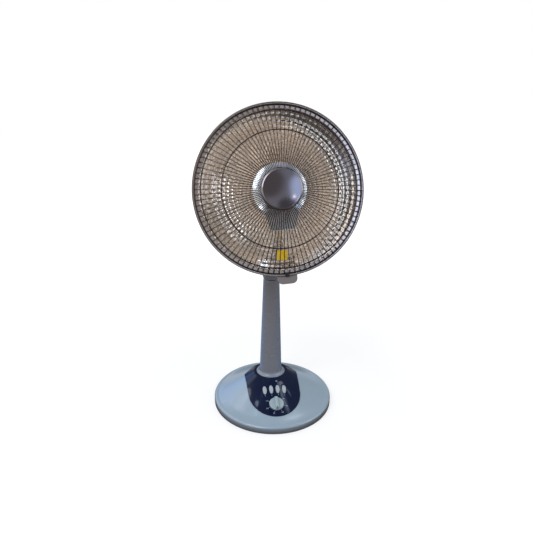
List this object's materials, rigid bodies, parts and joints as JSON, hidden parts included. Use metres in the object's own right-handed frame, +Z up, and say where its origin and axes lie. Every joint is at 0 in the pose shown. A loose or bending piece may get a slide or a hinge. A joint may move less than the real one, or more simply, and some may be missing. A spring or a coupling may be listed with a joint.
{
  "type": "pedestal parabolic heater",
  "caption": "Free-standing parabolic heater: round base with push buttons and a timer knob, tapered column, and a swinging, tilting dish head behind a radial wire guard.",
  "frame": {"origin": "centre of the round base, on the floor under its feet", "axes": "+Z up the column, -Y to the front where the dish and the control panel face, +X to the right seen from the front"},
  "size_m": [0.428, 0.35, 0.876],
  "materials": {
    "cover_plastic": "fine satin moulding",
    "column_plastic": "satin moulding",
    "panel_gloss": "high gloss",
    "key_plastic": "satin moulding",
    "lens_plastic": "clear tinted lens",
    "black_plastic": "moulded",
    "white_plastic": "moulded nylon",
    "lead_sheath": "smooth sheath",
    "feet_rubber": "soft matt rubber",
    "plate_plastic": "black moulding",
    "cast_weight": "rough casting",
    "zinc_steel": "zinc-plated steel",
    "shell_plastic": "heat-resistant cream moulding",
    "dish_metal": "polished, warm tint",
    "band_metal": "dark satin metal",
    "guard_wire": "dark brown-black coated wire",
    "cap_metal": "dark gunmetal plating",
    "shield_metal": "mirror polish",
    "element_tube": "satin heat-resistant tube",
    "cap_ceramic": "unglazed ceramic",
    "lug_plastic": "brown-grey moulding",
    "clip_steel": "black-coated spring steel"
  },
  "bodies": {
    "stand": {"base_cover": "cover_plastic", "base_plate": "plate_plastic", "base_weight": "cast_weight", "rubber_feet": "feet_rubber", "base_screws": "zinc_steel", "control_panel": "panel_gloss", "indicator_lens": "lens_plastic", "switch_block": "black_plastic", "timer_body": "white_plastic", "tipover_switch": "black_plastic", "terminal_block": "white_plastic", "cord_gland": "black_plastic", "supply_lead": "lead_sheath", "column_collar": "column_plastic", "column": "column_plastic", "column_tube": "zinc_steel", "tube_nut": "zinc_steel", "column_head": "black_plastic", "swing_yoke": "zinc_steel", "yoke_screws": "zinc_steel", "swivel_washer": "white_plastic"},
    "key_off": {"button_off": "key_plastic"},
    "key_low": {"button_low": "key_plastic"},
    "key_high": {"button_high": "key_plastic"},
    "key_swing": {"button_swing": "key_plastic"},
    "knob": {"timer_knob": "key_plastic", "timer_shaft": "zinc_steel"},
    "plunger": {"tipover_plunger": "white_plastic"},
    "neck": {"neck_cup": "column_plastic", "neck_cover": "column_plastic", "swing_motor": "zinc_steel", "motor_screws": "zinc_steel"},
    "crank": {"swing_crank": "zinc_steel", "motor_shaft": "zinc_steel"},
    "head": {"tilt_bracket": "zinc_steel", "tilt_bolt": "zinc_steel", "tilt_nut": "zinc_steel", "bracket_screws": "zinc_steel", "rear_shell": "shell_plastic", "rear_housing": "column_plastic", "reflector": "dish_metal", "rim_band": "band_metal", "grille_spokes": "guard_wire", "grille_rings": "guard_wire", "grille_hub": "guard_wire", "centre_cap": "cap_metal", "cap_screw": "zinc_steel", "element_shield": "shield_metal", "shield_post": "zinc_steel", "heating_element": "element_tube", "element_caps": "cap_ceramic", "element_holder": "dish_metal", "thermal_cutout": "zinc_steel", "head_terminal": "white_plastic", "rim_lug": "lug_plastic", "lock_clip": "clip_steel", "lug_screw": "zinc_steel"}
  },
  "joints": [
    {"name": "press_off", "type": "slide", "parent": "stand", "child": "key_off", "axis": [0, 0.3048, -0.9524], "range_m": [0, 0.003], "stiffness_N_per_m": 600, "springref_m": -0.002},
    {"name": "press_low", "type": "slide", "parent": "stand", "child": "key_low", "axis": [0, 0.3048, -0.9524], "range_m": [0, 0.003], "stiffness_N_per_m": 600, "springref_m": -0.002},
    {"name": "press_high", "type": "slide", "parent": "stand", "child": "key_high", "axis": [0, 0.3048, -0.9524], "range_m": [0, 0.003], "stiffness_N_per_m": 600, "springref_m": -0.002},
    {"name": "press_swing", "type": "slide", "parent": "stand", "child": "key_swing", "axis": [0, 0.3048, -0.9524], "range_m": [0, 0.003], "stiffness_N_per_m": 600, "springref_m": -0.002},
    {"name": "timer_turn", "type": "hinge", "parent": "stand", "child": "knob", "pos_m": [0, -0.097, 0.0448], "axis": [0, 0.3048, -0.9524], "range_deg": [0, 300]},
    {"name": "tipover_drop", "type": "slide", "parent": "stand", "child": "plunger", "axis": [0, 0, -1], "range_m": [0, 0.004], "stiffness_N_per_m": 150, "springref_m": 0.009},
    {"name": "head_swing", "type": "hinge", "parent": "stand", "child": "neck", "pos_m": [0, 0.045, 0.382], "axis": [0, 0, 1], "range_deg": [-35, 35]},
    {"name": "crank_turn", "type": "hinge", "parent": "neck", "child": "crank", "pos_m": [0, 0.056, 0.4], "axis": [0, 0, 1], "range_deg": [-102, 102]},
    {"name": "head_tilt", "type": "hinge", "parent": "neck", "child": "head", "pos_m": [0, 0.045, 0.548], "axis": [-1, 0, 0], "range_deg": [-17, 13]}
  ],
  "couplings": [
    {"joint": "crank_turn", "follows": "head_swing", "ratio": -2.9}
  ]
}
